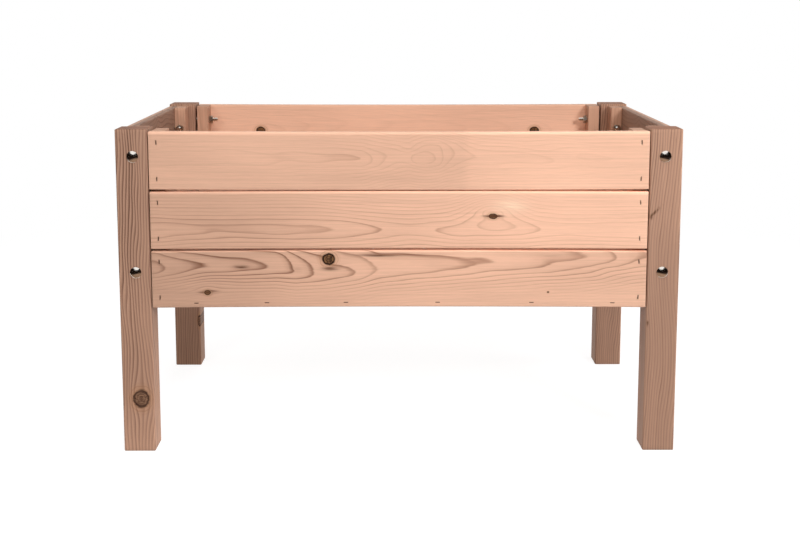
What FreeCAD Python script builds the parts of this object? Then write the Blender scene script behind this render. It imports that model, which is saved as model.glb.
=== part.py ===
"""A raised garden bed: four posts that are also its legs, four panels of three boards each,
and a slatted floor on ledgers.  Carriage bolts through the posts hold the panels' cleats.

Millimetres.  +X runs along the bed, +Y to its rear and +Z up.  The origin is on the ground,
under the middle of the bed.
"""
import FreeCAD, Part
import math
import os

os.makedirs("parts", exist_ok=True)

Vector = FreeCAD.Vector
X, Y, Z = Vector(1, 0, 0), Vector(0, 1, 0), Vector(0, 0, 1)

# ---- The whole bed, from face to face of its posts and from the ground to their tops
bed_length = 864.0
bed_depth = 508.0
bed_height = 508.0

# ---- Posts
post_side = 49.0
post_round = 2.5          # radius of the four upright edges
post_chamfer = 1.0        # round the top and round the foot

# ---- Panel boards
board_wide = 89.0
board_thick = 16.0
board_gap = 3.5           # between one board and the next
boards_per_panel = 3
board_round = 2.0         # radius of the four long edges
board_end_gap = 1.5       # from a board's end to the post
panel_drop = 3.5          # from the posts' tops down to the panels' tops

# ---- Cleats, the uprights that join a panel's boards and take the bolts
cleat_thick = 20.0
cleat_wide = 40.0
cleat_inset = 2.5         # on the long panels, from a board's end to the cleat

# ---- Ledgers and floor slats
ledger_side = 20.0
ledger_end_gap = 0.8
slat_count = 9            # they fill the bed from end to end, so their width follows
slat_gap = 3.5
slat_thick = 16.0
slat_round = 2.0
slat_clear = 1.5          # from the floor to the boards, posts and cleats round it

# ---- Carriage bolts with their nuts
bolt_wide = 8.0
bolt_hole_clear = 0.5     # all round the shank, in the wood
head_wide = 18.2
head_high = 4.4
head_rim = 0.6            # the straight edge below the dome
neck_side = 8.0           # the square neck under the head
neck_deep = 4.5
bolt_tip_chamfer = 0.8
side_bolt_tail = 5.9      # what stands past the nut, on the bolts along Y
long_bolt_tail = 9.2      # the same, on the bolts along X
nut_flats = 13.0
nut_high = 6.7
nut_clear = 0.05          # all round the shank, in the nut
upper_bolt_drop = 38.5    # from a panel's top to its upper bolts along Y
lower_bolt_rise = 55.5    # from a panel's bottom to its lower bolts along Y
bolt_stagger = 12.0       # the bolts along X pass this much above those along Y

# ---- Staples
staple_crown = 6.4
staple_wire = 1.2         # square wire
staple_sink = 0.4         # from the face of the wood to the crown
staple_clear = 0.1        # all round the wire, in the wood
panel_staple_bite = 13.6  # how deep the legs go into a cleat or ledger behind a board
floor_staple_bite = 7.6   # the same, into a ledger under a slat
staple_from_end = 12.0    # from a board's end to its staples
staple_from_edge = 16.5   # from a board's long edges to its staples
ledger_staple_rise = 7.0  # from a panel's bottom to the staples along its ledger
ledger_staple_from_end = 29.0                                  # from a cleat to the last of them
long_ledger_staples = (-0.95, -0.62, -0.25, 0.18, 0.62, 1.0)   # set by eye, as shares of the way
side_ledger_staples = (-1.0, 0.0, 1.0)                         # from the middle to that last one
floor_staple_from_edge = 22.0

# ---- Places that follow from these
half_length, half_depth = bed_length / 2, bed_depth / 2
panel_top = bed_height - panel_drop
panel_high = boards_per_panel * board_wide + (boards_per_panel - 1) * board_gap
panel_low = panel_top - panel_high
floor_low = panel_low + ledger_side
floor_top = floor_low + slat_thick
board_pitch = board_wide + board_gap
long_board = bed_length - 2 * (post_side + board_end_gap)
short_board = bed_depth - 2 * (post_side + board_end_gap)
side_bolt_in = board_thick + cleat_thick / 2     # from the bed's end face to a bolt along Y
long_bolt_in = board_thick + cleat_wide / 2      # from its front or rear face to a bolt along X
side_bolt_heights = (panel_low + lower_bolt_rise, panel_top - upper_bolt_drop)
long_bolt_heights = tuple(z + bolt_stagger for z in side_bolt_heights)
long_cleat_from = half_length - post_side - board_end_gap - cleat_inset   # its face by the post
long_cleat_to = long_cleat_from - cleat_thick                             # its face by the nut
side_cleat_from = half_depth - post_side
side_cleat_to = side_cleat_from - cleat_wide
inner_x, inner_y = half_length - board_thick, half_depth - board_thick    # the boards' inner faces
side_bolt_grip = post_side + cleat_wide                                   # from head to nut
long_bolt_grip = half_length - long_cleat_to
slat_wide = (2 * (inner_x - slat_clear) - (slat_count - 1) * slat_gap) / slat_count
panel_leg = board_thick + panel_staple_bite - staple_sink - staple_wire
floor_leg = slat_thick + floor_staple_bite - staple_sink - staple_wire


def box(low, high):
    """A box between two opposite corners, given in any order."""
    size = [abs(b - a) for a, b in zip(low, high)]
    return Part.makeBox(*size, Vector(*map(min, low, high)))


def eased_bar(low, high, along, radius):
    """A box whose four edges along one axis are rounded."""
    bar = box(low, high)
    edges = [e for e in bar.Edges if abs(e.tangentAt(e.FirstParameter).dot(along)) > 0.5]
    return bar.makeFillet(radius, edges)


def turned(shape, place, out, across):
    """A shape made with its face at z = 0, moved so that its +Z looks out of the wood and its +X
    lies across."""
    rotation = FreeCAD.Rotation(across, out.cross(across), out, "ZXY")
    moved = shape.copy()
    moved.Placement = FreeCAD.Placement(place, rotation)
    return moved


def save(name, shape):
    shape.exportStep("parts/" + name + ".step")


def save_group(name, shape, places):
    """Identical fasteners, as a group of separate solids."""
    save(name, Part.makeCompound([turned(shape, *place) for place in places]))


# ---- Fasteners, each made with the face of the wood at z = 0 and the outside at +Z

def bolt_length(grip, tail):
    return grip + nut_high + tail


def carriage_bolt(grip, tail):
    """Domed head, square neck and plain shank, through the wood and a nut."""
    length = bolt_length(grip, tail)
    dome_high = head_high - head_rim
    rim = head_wide / 2
    dome_radius = (rim ** 2 + dome_high ** 2) / (2 * dome_high)
    middle = head_high - dome_radius
    half_turn = math.asin(rim / dome_radius) / 2
    on_dome = Vector(dome_radius * math.sin(half_turn), 0, middle + dome_radius * math.cos(half_turn))
    top, edge = Vector(0, 0, head_high), Vector(rim, 0, head_rim)
    under, centre = Vector(rim, 0, 0), Vector(0, 0, 0)
    profile = Part.Wire([Part.Arc(top, on_dome, edge).toShape(), Part.makeLine(edge, under),
                         Part.makeLine(under, centre), Part.makeLine(centre, top)])
    head = Part.Face(profile).revolve(centre, Z, 360)
    half = neck_side / 2
    neck = box((-half, -half, -neck_deep), (half, half, 0))
    shank = Part.makeCylinder(bolt_wide / 2, length - bolt_tip_chamfer, centre, -Z)
    tip = Part.makeCone(bolt_wide / 2, bolt_wide / 2 - bolt_tip_chamfer, bolt_tip_chamfer,
                        Vector(0, 0, bolt_tip_chamfer - length), -Z)
    return head.fuse([neck, shank, tip]).removeSplitter()


def hex_nut():
    """A hexagon whose corners are turned off by a cone at each end."""
    corner = nut_flats / 2 / math.cos(math.radians(30))
    points = [Vector(corner * math.cos(math.radians(a)), corner * math.sin(math.radians(a)), 0)
              for a in range(0, 361, 60)]
    nut = Part.Face(Part.makePolygon(points)).extrude(Vector(0, 0, nut_high))
    for z, way in ((0, Z), (nut_high, -Z)):
        cone = Part.makeCone(nut_flats / 2, nut_flats / 2 + nut_high / math.tan(math.radians(30)),
                             nut_high, Vector(0, 0, z), way)
        nut = nut.common(cone)
    return nut.cut(Part.makeCylinder(bolt_wide / 2 + nut_clear, nut_high))


def staple(leg):
    """A crown along X, just below the face, and two legs going down from it."""
    half, wire = staple_crown / 2, staple_wire / 2
    top, low = -staple_sink, -staple_sink - staple_wire
    parts = [box((side * half, -wire, top), (side * (half - staple_wire), wire, low - leg))
             for side in (-1, 1)]
    return box((-half, -wire, top), (half, wire, low)).fuse(parts).removeSplitter()


def staple_slot(leg):
    """The room that a staple takes in the wood, open at the face."""
    half, wire = staple_crown / 2 + staple_clear, staple_wire / 2 + staple_clear
    inner = staple_crown / 2 - staple_wire - staple_clear
    low = -staple_sink - staple_wire
    parts = [box((side * half, -wire, staple_wire), (side * inner, wire, low - leg))
             for side in (-1, 1)]
    return box((-half, -wire, staple_wire), (half, wire, low)).fuse(parts)


# ---- Where the fasteners go: each place is a point on a face, the way out of it, and across it

def side_bolt_places():
    """Bolts along Y: from the front or rear face of a post into a side panel's cleat."""
    return [(Vector(sx * (half_length - side_bolt_in), sy * half_depth, z), Y * sy, X)
            for sx in (-1, 1) for sy in (-1, 1) for z in side_bolt_heights]


def long_bolt_places():
    """Bolts along X: from the end face of a post into a long panel's cleat."""
    return [(Vector(sx * half_length, sy * (half_depth - long_bolt_in), z), X * sx, Y)
            for sx in (-1, 1) for sy in (-1, 1) for z in long_bolt_heights]


def seated(places, depth):
    """The same places on the cleats' faces, depth below the posts', looking into the bed."""
    return [(point - out * depth, -out, across) for point, out, across in places]


def board_staple_heights():
    """Two staples in the end of each board, near its long edges."""
    lows = [panel_low + i * board_pitch for i in range(boards_per_panel)]
    return [low + up for low in lows for up in (staple_from_edge, board_wide - staple_from_edge)]


def panel_staple_places():
    """Upright crowns in the boards' ends, driven into the cleats."""
    along_x = long_board / 2 - staple_from_end
    along_y = short_board / 2 - staple_from_end
    heights = board_staple_heights()
    long_ones = [(Vector(sx * along_x, sy * half_depth, z), Y * sy, Z)
                 for sx in (-1, 1) for sy in (-1, 1) for z in heights]
    side_ones = [(Vector(sx * half_length, sy * along_y, z), X * sx, Z)
                 for sx in (-1, 1) for sy in (-1, 1) for z in heights]
    return long_ones + side_ones


def ledger_staple_places():
    """Lying crowns along the bottom board of each panel, driven into the ledger."""
    z = panel_low + ledger_staple_rise
    along_x = [share * (long_cleat_to - ledger_staple_from_end) for share in long_ledger_staples]
    along_y = [share * (side_cleat_to - ledger_staple_from_end) for share in side_ledger_staples]
    long_ones = [(Vector(x, sy * half_depth, z), Y * sy, X) for sy in (-1, 1) for x in along_x]
    side_ones = [(Vector(sx * half_length, y, z), X * sx, Y) for sx in (-1, 1) for y in along_y]
    return long_ones + side_ones


def slat_middles():
    """The floor slats' middles along X, evenly spaced from wall to wall."""
    last = inner_x - slat_clear - slat_wide / 2
    return [last - (slat_count - 1 - i) * (slat_wide + slat_gap) for i in range(slat_count)]


def floor_staple_places():
    """Two staples in each end of a slat, driven down into the long panels' ledgers.  Past the
    ends of those ledgers, in the notched slats, they go into the side panels' ledgers."""
    reach = long_cleat_to - ledger_end_gap - staple_crown
    places = []
    for middle in slat_middles():
        for side in (-1, 1):
            x = middle + side * (slat_wide / 2 - floor_staple_from_edge)
            y = inner_y - ledger_side / 2
            if abs(x) > reach:
                x = math.copysign(inner_x - ledger_side / 2, x)
                y = side_cleat_to - ledger_staple_from_end / 2
            places += [(Vector(x, sy * y, floor_top), Z, X) for sy in (-1, 1)]
    return places


# ---- The room that the fasteners take in the wood

def bolt_room(places, grip, tail):
    """A round hole for the shank and a square pocket for the neck."""
    half = neck_side / 2
    hole = Part.makeCylinder(bolt_wide / 2 + bolt_hole_clear, bolt_length(grip, tail),
                             Vector(0, 0, 0), -Z)
    pocket = box((-half, -half, -neck_deep), (half, half, 0))
    return [turned(hole.fuse(pocket), *place) for place in places]


fastener_room = (bolt_room(side_bolt_places(), side_bolt_grip, side_bolt_tail)
                 + bolt_room(long_bolt_places(), long_bolt_grip, long_bolt_tail)
                 + [turned(staple_slot(panel_leg), *p)
                    for p in panel_staple_places() + ledger_staple_places()]
                 + [turned(staple_slot(floor_leg), *p) for p in floor_staple_places()])


def drilled(piece):
    """A piece of wood with the room of every fastener that reaches into it cut out."""
    near = [room for room in fastener_room if room.BoundBox.intersect(piece.BoundBox)]
    return piece.cut(near) if near else piece


# ---- The wooden pieces

def post(sx, sy):
    """A square post with eased edges, flush with the bed's corner."""
    low = (sx * half_length, sy * half_depth, 0)
    high = (sx * (half_length - post_side), sy * (half_depth - post_side), bed_height)
    bar = eased_bar(low, high, Z, post_round)
    rims = [e for f in bar.Faces if abs(f.normalAt(0, 0).z) > 0.9 for e in f.Edges]
    return drilled(bar.makeChamfer(post_chamfer, rims))


def long_panel_board(sy, low):
    corner = (-long_board / 2, sy * half_depth, low)
    opposite = (long_board / 2, sy * inner_y, low + board_wide)
    return drilled(eased_bar(corner, opposite, X, board_round))


def side_panel_board(sx, low):
    corner = (sx * half_length, -short_board / 2, low)
    opposite = (sx * inner_x, short_board / 2, low + board_wide)
    return drilled(eased_bar(corner, opposite, Y, board_round))


def long_panel_cleat(sx, sy):
    """Set on edge, so that its width stands into the bed."""
    return drilled(box((sx * long_cleat_from, sy * inner_y, panel_low),
                       (sx * long_cleat_to, sy * (inner_y - cleat_wide), panel_top)))


def side_panel_cleat(sx, sy):
    """Lies flat on the boards, with its edge against the post."""
    return drilled(box((sx * inner_x, sy * side_cleat_from, panel_low),
                       (sx * (inner_x - cleat_thick), sy * side_cleat_to, panel_top)))


def long_panel_ledger(sy):
    reach = long_cleat_to - ledger_end_gap
    return drilled(box((-reach, sy * inner_y, panel_low),
                       (reach, sy * (inner_y - ledger_side), floor_low)))


def side_panel_ledger(sx):
    reach = side_cleat_to - ledger_end_gap
    return drilled(box((sx * inner_x, -reach, panel_low),
                       (sx * (inner_x - ledger_side), reach, floor_low)))


def corner_notches():
    """What the floor leaves free in each corner for the post and the two cleats beside it."""
    by_long_cleat = (long_cleat_to - slat_clear, inner_y - cleat_wide - slat_clear)
    by_side_cleat = (inner_x - cleat_thick - slat_clear, side_cleat_to - slat_clear)
    return [box((sx * x, sy * y, floor_low), (sx * half_length, sy * half_depth, floor_top))
            for sx in (-1, 1) for sy in (-1, 1) for x, y in (by_long_cleat, by_side_cleat)]


def floor_slat(middle):
    """A slat from the front to the rear boards, notched where it meets a corner."""
    reach = inner_y - slat_clear
    bar = eased_bar((middle - slat_wide / 2, -reach, floor_low),
                    (middle + slat_wide / 2, reach, floor_top), Y, slat_round)
    return drilled(bar.cut(corner_notches()))


# ---- Make and save everything

board_names = {0: "bottom", boards_per_panel - 1: "top"}
ends = ((-1, "left"), (1, "right"))
faces = ((-1, "front"), (1, "rear"))

for sx, end in ends:
    for sy, face in faces:
        save("post_" + face + "_" + end, post(sx, sy))
        save(face + "_cleat_" + end, long_panel_cleat(sx, sy))
        save(end + "_cleat_" + face, side_panel_cleat(sx, sy))

for i in range(boards_per_panel):
    name = board_names.get(i, "middle" if boards_per_panel == 3 else "middle_" + str(i))
    low = panel_low + i * board_pitch
    for sy, face in faces:
        save(face + "_board_" + name, long_panel_board(sy, low))
    for sx, end in ends:
        save(end + "_board_" + name, side_panel_board(sx, low))

for sy, face in faces:
    save(face + "_ledger", long_panel_ledger(sy))
for sx, end in ends:
    save(end + "_ledger", side_panel_ledger(sx))

for number, middle in enumerate(slat_middles(), start=1):
    save("floor_slat_" + str(number), floor_slat(middle))

nut_places = (seated(side_bolt_places(), side_bolt_grip)
              + seated(long_bolt_places(), long_bolt_grip))

save_group("side_panel_bolts", carriage_bolt(side_bolt_grip, side_bolt_tail), side_bolt_places())
save_group("long_panel_bolts", carriage_bolt(long_bolt_grip, long_bolt_tail), long_bolt_places())
save_group("hex_nuts", hex_nut(), nut_places)
save_group("panel_staples", staple(panel_leg), panel_staple_places())
save_group("ledger_staples", staple(panel_leg), ledger_staple_places())
save_group("floor_staples", staple(floor_leg), floor_staple_places())

print("panel from", panel_low, "to", panel_top, "slat width", slat_wide)
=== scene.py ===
# %% [markdown]
# # A raised garden bed of planed softwood
# The bed stands on four square posts. Three boards close each side, uprights inside hold the boards
# together, and bolts with domed heads pull the panels to the posts. This lesson dresses every piece of
# it: first the wood as a solid with growth rings in it, then the hardware, then light and camera.
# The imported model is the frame: each piece made here takes the place of one of its nodes.

# %% Load the frame
import math

import bpy
import numpy as np
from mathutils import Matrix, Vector


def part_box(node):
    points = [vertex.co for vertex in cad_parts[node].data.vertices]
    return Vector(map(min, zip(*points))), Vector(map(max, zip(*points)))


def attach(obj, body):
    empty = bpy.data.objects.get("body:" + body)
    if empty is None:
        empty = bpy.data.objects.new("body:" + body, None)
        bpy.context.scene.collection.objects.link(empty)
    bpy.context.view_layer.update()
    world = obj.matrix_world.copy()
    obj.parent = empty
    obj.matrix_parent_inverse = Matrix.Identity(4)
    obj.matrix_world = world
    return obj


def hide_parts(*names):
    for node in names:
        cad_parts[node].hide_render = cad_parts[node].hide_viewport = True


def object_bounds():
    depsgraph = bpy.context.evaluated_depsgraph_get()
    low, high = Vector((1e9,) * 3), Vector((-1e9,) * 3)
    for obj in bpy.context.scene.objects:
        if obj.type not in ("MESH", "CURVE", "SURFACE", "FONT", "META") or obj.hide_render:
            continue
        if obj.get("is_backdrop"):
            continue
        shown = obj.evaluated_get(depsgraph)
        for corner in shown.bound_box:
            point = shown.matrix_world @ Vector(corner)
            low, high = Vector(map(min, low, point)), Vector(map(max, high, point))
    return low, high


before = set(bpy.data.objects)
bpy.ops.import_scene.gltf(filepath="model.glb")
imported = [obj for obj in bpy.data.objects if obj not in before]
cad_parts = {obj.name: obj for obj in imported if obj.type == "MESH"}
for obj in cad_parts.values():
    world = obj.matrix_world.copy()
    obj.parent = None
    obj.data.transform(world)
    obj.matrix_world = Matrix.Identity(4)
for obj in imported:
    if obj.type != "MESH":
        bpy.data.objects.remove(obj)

cad_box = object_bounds()
MM = 0.001


def span(node):
    """The lowest and highest corner of a node of the frame, in millimetres."""
    return [np.array(corner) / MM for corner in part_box(node)]


bed_low, bed_high = span("post_front_left")[0], span("post_rear_right")[1]
print("bed", np.round(bed_high - bed_low, 1), "mm,", len(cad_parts), "nodes")

# %% [markdown]
# ## How a board gets its figure
# A tree grows in thin cones round its pith. A saw that cuts nearly along the trunk meets each cone
# aslant, so the dark latewood shows as arches on the wide faces and as nearly straight lines on the
# edges. A wood texture from a noise node has lines too, but they don't agree where two faces meet.
# Here each point of a piece gets a ring level: its distance from a pith line that wanders beside the
# piece, divided by the ring spacing. Whole levels are the dark lines. The level is worked out at the
# mesh's own points and kept as an attribute, and it follows the wood round every edge.

# %% A smooth curve through a few stations
def gentle(stations, at):
    """Values at some places, from (place, value) stations. Between two stations the value is a cubic
    whose slope at a station is the harmonic mean of the slopes beside it, or level at a peak, so it
    never overshoots."""
    if np.isscalar(stations):
        return np.full(np.shape(at), float(stations))
    x, y = np.array(stations, float).T
    step, slope = np.diff(x), np.diff(y) / np.diff(x)
    bend = np.zeros_like(y)
    same = slope[:-1] * slope[1:] > 0
    bend[1:-1][same] = (2 * slope[:-1] * slope[1:])[same] / (slope[:-1] + slope[1:])[same]
    i = np.clip(np.searchsorted(x, at) - 1, 0, len(step) - 1)
    t = np.clip((at - x[i]) / step[i], 0, 1)
    return (y[i] * (1 + 2 * t) * (1 - t) ** 2 + step[i] * bend[i] * t * (1 - t) ** 2
            + y[i + 1] * t * t * (3 - 2 * t) - step[i] * bend[i + 1] * t * t * (1 - t))


# %% [markdown]
# ## Knots
# A knot is a branch that the trunk grew round. The rings part before it and close behind it, as water
# does round a pile, so their lines come from a flow: a point at the distance r from the knot's
# middle, in bent radii, takes the level of a point nearer its axis by the share 1 / (1 + r²). The
# flow could also be painted by a distorted noise, but then the lines would run through the knot.

# %% Ring level, fibre direction, knots and stains at each point
def wobble(u, v, size, seed):
    """Slow unevenness: a sum of seven sine waves up to 420 mm long along the grain and up to 120 mm
    across it, each shorter and weaker than the one before."""
    rng = np.random.default_rng(seed)
    total = np.zeros(np.broadcast(u, v).shape)
    for share in np.linspace(1.0, 0.3, 7):
        along, across = rng.uniform(90, 420) * share, rng.uniform(38, 120) * share
        total += share * np.sin(2 * np.pi * (u / along + v / across) + rng.uniform(0, 2 * np.pi))
    return size * total / 2


def past_knots(u, v, knots):
    """Where the lines would be without the knots, and the distance to the nearest one, in radii. A
    knot's bend is how many radii its flow reaches, and its stretch shortens distances along u."""
    straight, nearest = v.copy(), np.full(u.shape, 9.0)
    for knot in knots:
        du, dv = (u - knot["u"]) / knot["ru"], (v - knot["v"]) / knot["rv"]
        far = np.hypot(du * knot.get("stretch", 0.75), dv) / knot.get("bend", 1.6)
        straight -= (v - knot["v"]) / (1 + far ** 2)
        nearest = np.minimum(nearest, np.hypot(du, dv))
    return straight, nearest


# Past this share of its thickness a point is on a bar's inner face, which can take a painted shade.
PAINTED_SHADE_FROM = 0.6  # the share of a bar's thickness past which a point counts as on its inner face
# The width of the pale strip along a board's top edge, a painted highlight of light from above.
TOP_HIGHLIGHT_WIDE = 2.2  # mm of pale edge along a board's top
TIGHTEN_OVER = 30  # mm from the pith line to where "tighten" has added its whole value
LEVELS_APART = 40  # ring levels from one piece to the next, so that no two share their years


def wood_fields(u, v, w, figure, seed):
    """The ring level at each point, and the other things that the wood's finish reads there.

    The level is the crest's, plus the distance to the pith line less its least distance, over the
    ring spacing, plus the swells. A swell, like a stain, is a bell that fades along both axes by its
    radii. Where stains overlap, the deepest holds; a negative one bleaches."""
    straight, nearest = past_knots(u, v, figure.get("knots", ()))
    front = gentle(figure["pith_front"], u)
    off = straight - gentle(figure["pith_v"], u)
    off = np.where(off > 0, off * figure.get("upper", 1.0), off)
    level = gentle(figure["crest"], u) + (np.hypot(front + w, off) - np.abs(front)) / figure["ring"]
    level += figure.get("tighten", 0.0) * (off / TIGHTEN_OVER) ** 2
    level += wobble(u, straight, figure["wobble"], seed)
    for bump in figure.get("swells", ()):
        far = ((u - bump["u"]) / bump["ru"]) ** 2 + ((v - bump["v"]) / bump["rv"]) ** 2
        level += bump["levels"] * np.exp(-far)
    stain = np.zeros(u.shape)
    for mark in figure.get("stains", ()):
        across = v - mark["v"]
        along = u - mark["u"] - mark.get("lean", 0.0) * across
        patch = mark["depth"] * np.exp(-((along / mark["ru"]) ** 2 + (across / mark["rv"]) ** 2))
        stain = np.where(np.abs(patch) > np.abs(stain), patch, stain)
    lines = gentle(figure.get("lines", 0.6), u) * gentle(figure.get("across", 1.0), v)
    # Brightness along the bar: the wood's own colour and, on some boards, painted light and shade.
    tone = gentle(figure.get("tone", 1.0), u)
    # The inner face is darkened by a factor: painted shade of the inside of the box.
    tone = tone * np.where(w > PAINTED_SHADE_FROM * w.max(), figure.get("inside", 1.0), 1.0)
    # A pale strip along the top edge: a painted highlight, where light from above catches the rounded edge.
    tone *= np.where(v > v.max() - TOP_HIGHLIGHT_WIDE, figure.get("painted_top_highlight", 1.0), 1.0)
    return {"ring": level + LEVELS_APART * (seed % 23), "straight": straight, "knot": nearest,
            "stain": stain, "lines": lines, "tone": tone}


# %% [markdown]
# ## A bar of planed timber
# Posts, boards, uprights, ledgers and slats are all bars with eased edges. A cube with a bevel would
# have too few points to carry the rings, so a bar here is a rounded rectangle carried along the bar:
# one row of points for each station, with more stations and more points where a knot or a staple
# needs them. Both ends are closed by smaller and smaller rows down to one middle point.

# %% Grid lines, crowded where there is detail
CLOSEST = 0.12  # mm between two marks; of nearer ones, the later is left out
NARROW_STAIN = 3.5  # mm; a stain with a smaller radius than this gets lines of its own
SLOT_LIP, SLOT_SLACK = 0.25, 0.1  # mm of slope round a slot, and what still counts as inside it


def grid_lines(low, high, step, marks=()):
    """Lines from low to high: evenly spaced, and one at each mark in place of the even ones near it."""
    even = np.linspace(low, high, max(2, round((high - low) / step) + 1))
    marks = np.array(sorted({round(float(m), 2) for m in marks if low + 0.1 < m < high - 0.1}))
    if not len(marks):
        return even
    marks = marks[np.concatenate([[True], np.diff(marks) > CLOSEST])]
    free = np.abs(even[:, None] - marks).min(axis=1) > 0.3 * step
    free[[0, -1]] = True
    return np.sort(np.concatenate([even[free], marks]))


def marks_at(figure, slots, axis):
    """Places along u or v where the grid is crowded: over each knot, each narrow stain and each
    staple's slot."""
    found = []
    for mark in figure.get("stains", ()):
        if mark["r" + axis] < NARROW_STAIN:
            found += list(mark[axis] + mark["r" + axis] * np.linspace(-1.8, 1.8, 7))
    for knot in figure.get("knots", ()):
        found += list(knot[axis] + knot["r" + axis] * np.linspace(-2.4, 2.4, 29))
    for slot in slots:
        middle, half = slot[axis], slot["half_" + axis]
        found += [middle - half - SLOT_LIP, middle - half, middle + half, middle + half + SLOT_LIP]
    return found


# %% The rounded rectangle and the bar
CORNER = np.radians([15, 45, 75])
CAP_ROWS = np.array([0.12, 0.3, 0.48, 0.66, 0.84])  # the rows that close an end, as shares of it
SHOULDER_IN, SHOULDER_INSET = 0.3, 0.35  # the row that rounds an end's edge, in chamfers
BACK_COARSER = 1.3  # the back's grid against the show face's


def section(v_lines, v_back, w_lines, v_low, v_high, thick, radius):
    """Points (v, w) round a rounded rectangle and the way out at each. The show face, at w = 0, has
    the lines v_lines, the back v_back and the two edges w_lines; each corner is an arc."""
    def face(along, fixed, out, v_runs):
        ones = np.ones_like(along)
        points = (along, fixed * ones) if v_runs else (fixed * ones, along)
        return np.stack([*points, out[0] * ones, out[1] * ones], 1)

    def corner(v, w, start):
        turn = np.radians(start) + CORNER
        out = np.stack([np.cos(turn), np.sin(turn)], 1)
        return np.hstack([np.array([v, w]) + radius * out, out])

    inner_low, inner_high, back = v_low + radius, v_high - radius, thick - radius
    return np.vstack([
        face(v_lines, 0, (0, -1), True), corner(inner_high, radius, 270),
        face(w_lines, v_high, (1, 0), False), corner(inner_high, back, 0),
        face(v_back[::-1], thick, (0, 1), True), corner(inner_low, back, 90),
        face(w_lines[::-1], v_low, (-1, 0), False), corner(inner_low, radius, 180)])


def slot_depth(u, v, slots):
    """How far each point of the show face is pressed in: the full depth inside a slot's rectangle."""
    depth = np.zeros(u.shape)
    for slot in slots:
        along, across = np.abs(u - slot["u"]), np.abs(v - slot["v"])
        inside = (along < slot["half_u"] + SLOT_SLACK) & (across < slot["half_v"] + SLOT_SLACK)
        depth[inside] = slot["depth"]
    return depth


def closed_rows(points, poles):
    """Faces of a closed skin: quads between neighbouring rows, and a fan from each end's middle."""
    rows, around = points.shape[:2]
    index = np.arange(rows * around).reshape(rows, around)
    after = np.roll(index, -1, axis=1)
    quads = np.stack([index[:-1], index[1:], after[1:], after[:-1]], -1).reshape(-1, 4)
    first, last = rows * around, rows * around + 1
    start = np.stack([np.full(around, first), index[0], after[0]], 1)
    end = np.stack([np.full(around, last), after[-1], index[-1]], 1)
    everything = np.vstack([points.reshape(-1, 3), poles])
    return everything, [*quads.tolist(), *start.tolist(), *end.tolist()]


def outward(points, faces):
    """The same faces, turned if the volume that they enclose comes out negative."""
    a, b, c = (points[[face[i] for face in faces]] for i in (0, 1, 2))
    d = points[[face[-1] for face in faces]]
    volume = np.einsum("ij,ij->", a, np.cross(b, c)) + np.einsum("ij,ij->", a, np.cross(c, d))
    return faces if volume > 0 else [face[::-1] for face in faces]


def new_piece(name, points, faces, material, fields=None, sharp=35):
    """A mesh object at the origin, its points in metres, smooth but for edges sharper than given."""
    mesh = bpy.data.meshes.new(name)
    mesh.from_pydata((points * MM).tolist(), [], outward(points, faces))
    for key, values in (fields or {}).items():
        flat = values.ndim == 1
        layer = mesh.attributes.new(key, "FLOAT" if flat else "FLOAT_VECTOR", "POINT")
        layer.data.foreach_set("value" if flat else "vector", values.astype(np.float32).ravel())
    mesh.polygons.foreach_set("use_smooth", np.ones(len(mesh.polygons), bool))
    mesh.set_sharp_from_angle(angle=math.radians(sharp))
    mesh.materials.append(material)
    piece = bpy.data.objects.new(name, mesh)
    bpy.context.scene.collection.objects.link(piece)
    return piece


def stand_for(piece, node):
    """The piece rides with the bed and stands for its node."""
    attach(piece, "root")
    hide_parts(node)


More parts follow.
